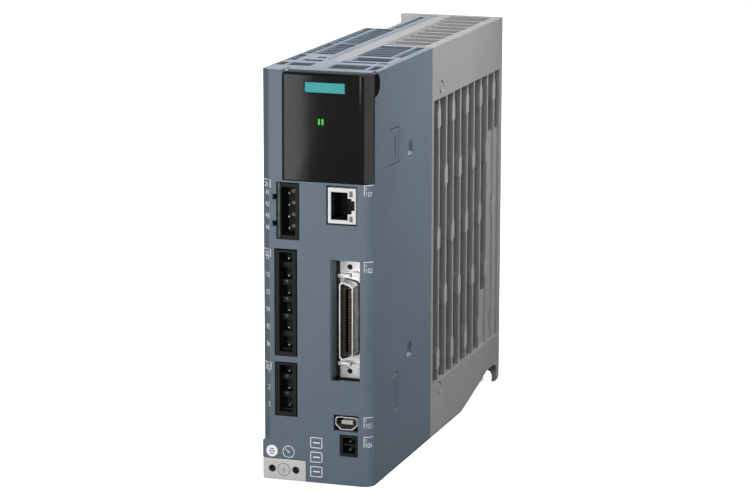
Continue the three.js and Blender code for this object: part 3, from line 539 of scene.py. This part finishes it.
def stroke(bm, x0, z0, x1, z1, width=0.3, steps=4):
    """Adds one straight printed line that follows the skin."""
    along = Vector((x1 - x0, z1 - z0)).normalized()
    across = Vector((-along.y, along.x)) * width / 2
    start = Vector((x0, z0)) - along * width / 2
    end = Vector((x1, z1)) + along * width / 2
    rows = []
    for i in range(steps + 1):
        p = start.lerp(end, i / steps)
        a, b = p + across, p - across
        corners = ((a, INK), (b, INK), (b, -INK), (a, -INK))
        rows.append([bm.verts.new(skin(q.x, q.y, h)) for q, h in corners])
    for low, high in zip(rows, rows[1:]):
        for k in range(4):
            m = (k + 1) % 4
            bm.faces.new((low[k], low[m], high[m], high[k]))
    bm.faces.new(rows[0][::-1])
    bm.faces.new(rows[-1])


def number(bm, text, x, z, height=1.7, width=0.27, wide=0.8):
    """Adds plain digits with their foot at x, z."""
    scale = height / 4
    for char in text:
        for a, b, c, d in DIGITS[char]:
            stroke(bm, x + a * scale * wide, z + b * scale, x + c * scale * wide, z + d * scale, width)
        x += scale * (2 * wide + 0.9)


def connector_marks():
    """Brackets with plain numbers beside the connectors and a number at each pole."""
    bm = bmesh.new()
    for z, text in RIGHT_MARKS:
        stroke(bm, 46.3, z, 50.3, z, 0.22, 8)
        stroke(bm, 46.3, z, 46.3, z - 4.4, 0.22)
        number(bm, "1", 46.9, z - 2.1, 1.3, 0.16, 0.7)
        number(bm, text, 46.9, z - 4.6, 1.8, 0.14, 0.8)
    for z, text in LEFT_MARKS:
        stroke(bm, 0.4, z, 3.9, z, 0.28)
        stroke(bm, 3.9, z, 3.9, z - 3.2, 0.28)
        number(bm, text, 1.0, z - 3.0, 1.8, 0.28)
    for name, count, tens in POLE_MARKS:
        left = 1.5 if tens else 2.6
        for i in range(count):
            z0, z1 = box_mm(f"{name}_{i + 1}")[4:]
            number(bm, f"{tens}{i + 1}", left, (z0 + z1) / 2 - 0.9, 1.8, 0.3)
    new_piece("connector_marks", bm, "white_plastic", material="white_ink")


def round_marks():
    """Generic round and square marks beside the earth plate."""
    bm = bmesh.new()
    prism(bm, round_outline(*DISC, DIAL_R, 36), "y", -INK, INK)
    for i in range(10):
        ends = []
        for angle in (math.radians(36 * i + 6), math.radians(36 * i + 30)):
            ends += [DIAL[0] + DIAL_R * math.cos(angle), DIAL[1] + DIAL_R * math.sin(angle)]
        stroke(bm, *ends, 0.3, 1)
    prism(bm, round_outline(*DIAL, 0.45, 16), "y", -INK, INK)
    stroke(bm, 10.4, 14.0, *DIAL, 0.28, 1)
    for z0, z1 in SQUARES_Z:
        x0, x1 = SQUARE_X
        for line in ((x0, z0, x1, z0), (x1, z0, x1, z1), (x1, z1, x0, z1), (x0, z1, x0, z0)):
            stroke(bm, *line, 0.32, 1)
        middle = (z0 + z1) / 2
        stroke(bm, x0 + 1.3, middle, x1 - 1.3, middle, 0.5, 1)
    new_piece("round_marks", bm, "white_plastic", material="white_ink")
    bm = bmesh.new()
    for z, half in ((13.6, 0.9), (12.5, 1.4), (11.4, 0.9)):
        block(bm, DISC[0] - half, DISC[0] + half, -INK * 1.6, INK, z - 0.25, z + 0.25, 0.0)
    new_piece("round_mark_slot", bm, "housing_plastic")


connector_marks()
round_marks()


# ---------------------------------------------------------------- network jack
def network_jack():
    """Black liner, eight sprung contact wires and two light windows."""
    left, right, low, high = 31.2, 38.8, 116.6, 128.7       # the plug's opening
    key_low, key_high = 121.14, 124.96                      # inside of the latch's keyway
    skin_t, front, back = 0.22, 0.9, 12.45
    pitch, rib_z, wire_z = 1.02, 118.35, 119.0
    bm = bmesh.new()
    block(bm, left + 0.02, left + skin_t, front, back, low + 0.02, high - 0.02, 0.03)
    block(bm, left + skin_t + 0.02, right - 0.05, front, back, low + 0.02, low + skin_t, 0.03)
    block(bm, left + skin_t + 0.02, right - 0.05, front, back, high - skin_t, high - 0.02, 0.03)
    block(bm, left + skin_t + 0.02, right - 0.05, back - skin_t, back,
          low + skin_t, high - skin_t, 0.03)
    for z0, z1 in ((low + skin_t, 119.28), (126.12, high - skin_t)):
        block(bm, right - skin_t, right - 0.02, front, back - skin_t, z0, z1, 0.03)
    for x0, x1, z0, z1 in ((38.7, 40.5, 119.3, 126.1), (40.4, 41.9, 120.9, 125.2)):
        block(bm, x0 + 0.15, x1 - 0.03, front, back, z0 + 0.02, z0 + skin_t, 0.03)
        block(bm, x0 + 0.15, x1 - 0.03, front, back, z1 - skin_t, z1 - 0.02, 0.03)
    block(bm, 41.66, 41.88, front, back, key_low, key_high, 0.03)
    block(bm, 38.85, 41.64, back - 0.3, back, key_low, key_high, 0.03)
    for i in range(9):
        z = rib_z + pitch * i
        block(bm, left + skin_t + 0.02, left + 1.1, 1.6, 4.6, z, z + 0.34, 0.04)
    new_piece("network_jack_liner", bm, "black_plastic", material="black_and_shade")
    bm = bmesh.new()
    bend = ((31.75, 1.9), (32.2, 3.2), (33.1, 5.6), (34.3, 8.6), (35.2, 10.8), (35.4, 12.1))
    for i in range(8):
        tube(bm, [(x, y, wire_z + pitch * i) for x, y in bend], 0.17, 6)
    # The wires take the darkened contact material: painted shade deep in the jack.
    wires = new_piece("network_jack_wires", bm, "contact_gold", material="shaded_contact")
    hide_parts("network_jack_contacts")
    bm = bmesh.new()
    for z0, z1 in ((116.0, 118.5), (126.8, 129.3)):
        block(bm, 39.55, 40.95, 0.34, 0.58, z0 + 0.06, z1 - 0.06, 0.08)
        for k in range(3):
            block(bm, 39.75 + 0.4 * k, 39.95 + 0.4 * k, 0.3, 0.36, z0 + 0.3, z1 - 0.3, 0.02, 1)
    new_piece("network_jack_lights", bm, "grey_plastic", material="lens_grey")


network_jack()


# ---------------------------------------------------------------- plug headers
def header_details():
    """Hooked spring wires of the four-way header; keys and partitions between the other poles."""
    bm = bmesh.new()
    wire = ((13.5, 1.6, 0.3), (13.0, 2.6, 0.8), (12.9, 6.0, 0.9), (12.9, 10.2, 0.9))    # x, y, drop
    for i in range(4):
        z0, z1 = box_mm(f"pin_four_way_{i + 1}")[4:]
        z = (z0 + z1) / 2 + 1.0
        ring_band(bm, 14.1, z, 0.42, 0.68, "y", 1.4, 1.8, 16)
        tube(bm, [(x, y, z - drop) for x, y, drop in wire], 0.16, 6)
    # The hooks take the darkened contact material: painted shade inside the header.
    new_piece("four_way_hooks", bm, "tinned_metal", material="shaded_contact")
    green, grey = bmesh.new(), bmesh.new()
    for name, count in (("pin_six_way", 6), ("pin_three_way", 3)):
        for i in range(count - 1):
            upper, lower = box_mm(f"{name}_{i + 1}"), box_mm(f"{name}_{i + 2}")
            z = (upper[4] + upper[5] + lower[4] + lower[5]) / 4
            outer = count == 6 and i in (0, 4)
            block(grey if outer else green, 8.0, 10.2, 4.7, 4.95, z - 1.0, z + 1.0, 0.08)
            block(grey, 7.75, 13.65, 4.9, 4.98, z - 1.2, z + 1.2, 0.02, 1)
    new_piece("header_keys", green, "circuit_board", material="mask_green")
    new_piece("header_partition_faces", grey, "black_plastic")


header_details()


# ---------------------------------------------------------------- signal connector
def signal_details():
    """Two rows of 25 sprung contacts at the half-pitch spacing, and the bracket's small tabs."""
    z0, z1 = box_mm("signal_insert")[4:]
    middle, pitch, count = (z0 + z1) / 2, 1.27, 25
    bm = bmesh.new()
    for row, (near, far) in enumerate(((36.1, 37.15), (39.3, 38.45))):
        for i in range(count):
            z = middle + (i - (count - 1) / 2) * pitch + (0.3 if row else 0.0)
            outline = [(near, 2.55), (far, 2.2), (far, 7.5), (near, 7.5)]
            prism(bm, outline if row == 0 else outline[::-1], "z", z - 0.25, z + 0.25, 0.04, 1)
    # The contacts take the darkened contact material: painted shade inside the socket.
    new_piece("signal_contacts", bm, "contact_gold", material="shaded_contact")
    bm = bmesh.new()
    for z in (92.6, 50.0):
        for x in (35.2, 40.3):
            block(bm, x, x + 1.2, 8.7, 9.18, z, z + 1.3, 0.08)
    for z in (91.3, 52.7):
        block(bm, 33.6, 37.3, 5.1, 5.38, z - 0.35, z + 0.35, 0.1)
    new_piece("signal_bracket_tabs", bm, "tinned_metal")
    # Near-black discs and rings at the backs of the screw wells: painted shade in the holes.
    bm = bmesh.new()
    for z in (94.6, 48.6):
        prism(bm, round_outline(36.8, z, 1.18, 24), "y", 9.9, 10.15)
        ring_band(bm, 36.8, z, 0.6, 1.15, "y", 9.4, 9.85, 24)
    new_piece("signal_screw_wells", bm, "black_plastic", material="black_and_shade")
    # A thin sheet on the pocket's left wall in a lightened copy of the housing plastic: painted light
    # on a wall the lamps leave dark.
    bm = bmesh.new()
    block(bm, 31.12, 31.3, 0.7, 8.5, 46.2, 98.9, 0.04)
    new_piece("signal_pocket_wall", bm, "housing_plastic", material="lit_pocket_wall")
    # Near-black blocks in the gaps beside the connector plate: painted shade in the gaps.
    bm = bmesh.new()
    block(bm, 31.2, 32.25, 8.8, 10.4, 46.1, 99.0, 0.04)
    block(bm, 31.2, 44.2, 8.8, 10.4, 44.3, 45.45, 0.04)
    new_piece("signal_gap_shade", bm, "black_plastic", material="black_and_shade")


signal_details()


# ---------------------------------------------------------------- encoder and two-way sockets
def encoder_details():
    """Dark back and sides of the socket, and six contacts on its tongue."""
    bm = bmesh.new()
    block(bm, 33.9, 42.5, 10.6, 11.0, 25.6, 29.8, 0.05)
    for x0, x1, z0, z1 in ((33.65, 33.9, 27.2, 29.6), (42.5, 42.75, 27.2, 29.6)):
        block(bm, x0, x1, 1.0, 10.6, z0, z1, 0.05)
    new_piece("encoder_liner", bm, "black_plastic", material="black_and_shade")
    bm = bmesh.new()
    first_x, pitch = 36.35, 0.8
    for i in range(6):
        x = first_x + pitch * i
        block(bm, x - 0.19, x + 0.19, 1.02, 9.0, 28.5, 28.72, 0.05)
        block(bm, x - 0.19, x + 0.19, 1.0, 1.18, 27.2, 28.7, 0.05)
    new_piece("encoder_contacts", bm, "contact_gold", material="jack_frame")


encoder_details()


# ---------------------------------------------------------------- earth plate
def earth_details():
    """Stamped earth sign as a flush grey piece, painted shade of its stamped lines, and near-black
    threads in the plate's two holes, painted shade inside the holes.
    """
    sign_x, sign_z, line, sunk = 9.6, 4.6, 0.28, 0.1
    bm = bmesh.new()
    ring_band(bm, sign_x, sign_z, 2.55, 2.9, "y", -INK, sunk, 40)
    for half, z in ((1.3, 4.5), (0.85, 3.8), (0.4, 3.1)):
        block(bm, sign_x - half, sign_x + half, -INK, sunk, z - line / 2, z + line / 2, 0.0)
    block(bm, sign_x - line / 2, sign_x + line / 2, -INK, sunk, 4.5, 6.4, 0.0)
    new_piece("earth_mark", bm, "earth_metal", material="mark_shadow")
    bm = bmesh.new()
    hole_z, hole_r, turn = 4.65, 1.64, 0.9
    for x in (4.2, 15.1):
        for k in range(5):
            ring_band(bm, x, hole_z, 1.42, hole_r, "y", 0.35 + turn * k, 0.75 + turn * k, 24)
        prism(bm, round_outline(x, hole_z, hole_r, 24), "y", 4.75, 4.95)
    new_piece("earth_threads", bm, "steel", material="thread_shade")


earth_details()


# ---------------------------------------------------------------- flap and top details
def flap_details():
    """The clip at the flap's top left corner, and a near-black block in the gap beside the flap:
    painted shade in the gap.
    """
    bm = bmesh.new()
    block(bm, 10.45, 11.0, 1.5, 3.0, 179.35, 179.9, 0.1)
    new_piece("flap_clip", bm, "white_plastic", FLAP, material="jack_frame")
    bm = bmesh.new()
    block(bm, 9.45, 10.15, 0.9, 3.0, 132.6, 174.0, 0.05, 1)
    new_piece("flap_gap_shade", bm, "black_plastic", material="black_and_shade")


def top_details():
    """Ribbed floors of the shallow pockets in the housing's top, in a darkened copy of the housing
    plastic: painted shade in the pockets.
    """
    bm = bmesh.new()
    pockets = ((0.9, 5, 14.1, 22.6), (6.2, 17, 14.1, 22.6), (26, 42.4, 10.4, 22.5),
               (43.8, 48, 10.4, 22.5), (8, 17, 28.4, 33.2))     # x from, to; y from, to
    floor_z, rib_z, inset, rib_pitch, rib = 179.0, 179.55, 0.06, 1.7, 0.45
    for x0, x1, y0, y1 in pockets:
        block(bm, x0 + inset, x1 - inset, y0 + inset, y1 - inset, 178.82, floor_z, 0.03, 1)
        count = int((y1 - y0) / rib_pitch)
        step = (y1 - y0) / (count + 1)
        for i in range(count):
            y = y0 + (i + 1) * step
            block(bm, x0 + inset, x1 - inset, y - rib / 2, y + rib / 2, floor_z - 0.05, rib_z, 0.06, 1)
    new_piece("top_pocket_floors", bm, "housing_plastic", material="pocket_shade")


def fin_details():
    """A cast ring and dot on the last fin's tip."""
    bm = bmesh.new()
    fin_y, tip = FIN_FIRST + FIN_PITCH * FIN_LAST, 49.62
    ring_band(bm, fin_y, 38.5, 0.55, 0.85, "x", tip - 0.1, tip + 0.08, 20)
    prism(bm, round_outline(fin_y, 29.5, 0.5, 16), "x", tip - 0.1, tip + 0.08)
    new_piece("fin_marks", bm, "cast_aluminium")


def shadow_lines():
    """Painted shade: near-black pieces at the bottoms of the snap tongues' slits, in their grooves and
    in the casting's witness rings.
    """
    bm = bmesh.new()
    y0, y1, slit, height = 23.65, 36.15, 0.6, 16.2
    x0, groove_x, x1 = 48.3, 49.24, 49.45
    for top in (152.55, 43.35):
        foot = top - height + 0.1
        block(bm, x0, x1, y0, y1 - slit - 0.05, top - slit, top, 0.03, 1)
        block(bm, x0, x1, y1 - slit, y1, foot, top, 0.03, 1)
        block(bm, x0, x1, y0, y1 - slit - 0.05, foot, foot + slit, 0.03, 1)
        block(bm, groove_x, x1, 31.25, 32.15, top - height + 3.0, top - 2.9, 0.03, 1)
    ring_y, ring_in, ring_out = 99.6, 2.25, 3.05
    for z in (160.4, 20.3):
        ring_band(bm, ring_y, z, ring_in, ring_out, "x", groove_x, 49.5, 40)
    new_piece("shadow_lines", bm, "black_plastic", material="black_and_shade")


flap_details()
top_details()
fin_details()
shadow_lines()


# ---------------------------------------------------------------- camera, light, floor
YAW, PITCH, ROLL = math.radians(18.1256), math.radians(11.7113), math.radians(0.1222)
CAMERA_X, CAMERA_Y, CAMERA_Z = 0.436165, -1.174937, 0.361126    # from the box's low corner, metres
forward = Vector((-math.sin(YAW) * math.cos(PITCH), math.cos(YAW) * math.cos(PITCH), -math.sin(PITCH)))
right = Vector((math.cos(YAW), math.sin(YAW), 0))
up = right.cross(forward)
side = right * math.cos(ROLL) + up * math.sin(ROLL)
top = up * math.cos(ROLL) - right * math.sin(ROLL)
camera_data = bpy.data.cameras.new("camera")
camera_data.lens = 142.592
camera_data.sensor_width = 36.0
camera_data.clip_end = 20
camera = bpy.data.objects.new("camera", camera_data)
scene.collection.objects.link(camera)
camera.matrix_world = Matrix((
    (side.x, top.x, -forward.x, CAD_LO.x + CAMERA_X),
    (side.y, top.y, -forward.y, CAD_LO.y + CAMERA_Y),
    (side.z, top.z, -forward.z, CAD_LO.z + CAMERA_Z),
    (0, 0, 0, 1)))
scene.camera = camera
scene.view_settings.view_transform = "Standard"
scene.view_settings.look = "None"


def area_light(name, place, target, width, height, power, spread=180):
    """A rectangular lamp of so many metres and watts, aimed at a target."""
    data = bpy.data.lights.new(name, "AREA")
    data.shape = "RECTANGLE"
    data.size = width
    data.size_y = height
    data.energy = power
    data.spread = math.radians(spread)
    lamp = bpy.data.objects.new(name, data)
    scene.collection.objects.link(lamp)
    lamp.location = place
    aim = Vector(target) - Vector(place)
    lamp.rotation_euler = aim.to_track_quat("-Z", "Y").to_euler()
    return lamp


def studio_world():
    """Soft studio: brighter behind and above, plain white where the camera looks straight at it."""
    world = bpy.data.worlds.new("studio")
    world.use_nodes = True
    tree = world.node_tree
    scene.world = world

    def ramp(source, start, end, low, high):
        node = tree.nodes.new("ShaderNodeMapRange")
        node.interpolation_type = "SMOOTHSTEP"
        for key, value in (("From Min", start), ("From Max", end), ("To Min", low), ("To Max", high)):
            node.inputs[key].default_value = value
        tree.links.new(source, node.inputs["Value"])
        return node.outputs["Result"]

    def total(first, second):
        node = tree.nodes.new("ShaderNodeMath")
        node.operation = "ADD"
        tree.links.new(first, node.inputs[0])
        tree.links.new(second, node.inputs[1])
        return node.outputs[0]

    split = tree.nodes.new("ShaderNodeSeparateXYZ")
    tree.links.new(tree.nodes.new("ShaderNodeTexCoord").outputs["Generated"], split.inputs[0])
    behind = ramp(split.outputs["Y"], *SKY_BEHIND)
    above = ramp(split.outputs["Z"], *SKY_ABOVE)
    lit = tree.nodes["Background"]
    lit.inputs["Color"].default_value = (1, 1, 1, 1)
    tree.links.new(total(behind, above), lit.inputs["Strength"])
    seen = tree.nodes.new("ShaderNodeBackground")
    seen.inputs["Strength"].default_value = 1.05
    seen.inputs["Color"].default_value = (1, 1, 1, 1)
    choose = tree.nodes.new("ShaderNodeMixShader")
    tree.links.new(tree.nodes.new("ShaderNodeLightPath").outputs["Is Camera Ray"], choose.inputs[0])
    tree.links.new(lit.outputs[0], choose.inputs[1])
    tree.links.new(seen.outputs[0], choose.inputs[2])
    tree.links.new(choose.outputs[0], tree.nodes["World Output"].inputs["Surface"])


def pale_floor():
    """Wide pale floor, whiter to the camera than in what it throws back on the object."""
    bm = bmesh.new()
    bmesh.ops.create_grid(bm, x_segments=2, y_segments=2, size=6)
    data = bpy.data.meshes.new("floor")
    bm.to_mesh(data)
    bm.free()
    floor = bpy.data.objects.new("floor", data)
    scene.collection.objects.link(floor)
    floor.location = (0, 0, CAD_LO.z - FLOOR_GAP)
    pale = Tree("pale_floor")
    cloud = pale.remap(pale.noise(0.002, 2.0), -0.02, 0.02)
    across = pale.math("ADD", pale.axes(pale.coords)[0], cloud)
    near = pale.mix(pale.remap(across, 0, 1, -0.06, 0.02), (FLOOR_LEFT,) * 3, (FLOOR_RIGHT,) * 3)
    path = pale.add("ShaderNodeLightPath").outputs["Is Camera Ray"]
    pale.colour(pale.mix(path, near, (FLOOR_SEEN,) * 3))
    pale.flat(Roughness=0.9, Specular_IOR_Level=0.05)
    pale.link(pale.remap(path, 0, FLOOR_GLOW, 0, 1), pale.bsdf.inputs["Emission Strength"])
    pale.bsdf.inputs["Emission Color"].default_value = (1, 1, 1, 1)
    data.materials.append(pale.material)


studio_world()
area_light("key_top", (0.1, 0.15, 1.4), (0, 0, 0.1), 1.2, 1.2, 13.5)
area_light("front_fill", (0.2, -1.6, 0.5), (0, 0, 0.07), 0.9, 0.9, 24)
area_light("rear_fill", (-1.1, 0.8, 0.6), (0, 0, 0.1), 0.8, 0.8, 10)
side_fill = area_light("side_fill", (0.27, 0.03, 0.46), (0.02, 0, 0.2), 0.2, 0.4, 0.78, 65)
side_fill.data.color = (1.0, 0.93, 0.86)
right_card = area_light("right_card", (0.33, -0.405, 0.07), (0.02, -0.1, 0.15), 0.14, 0.2, 0.24)
left_card = area_light("left_card", (-0.236, -0.5, 0.055), (-0.236, 0.0, 0.055), 0.178, 0.21, 0.6)
for card in (right_card, left_card):        # seen in the glossy flap only
    card.visible_diffuse = False
pale_floor()
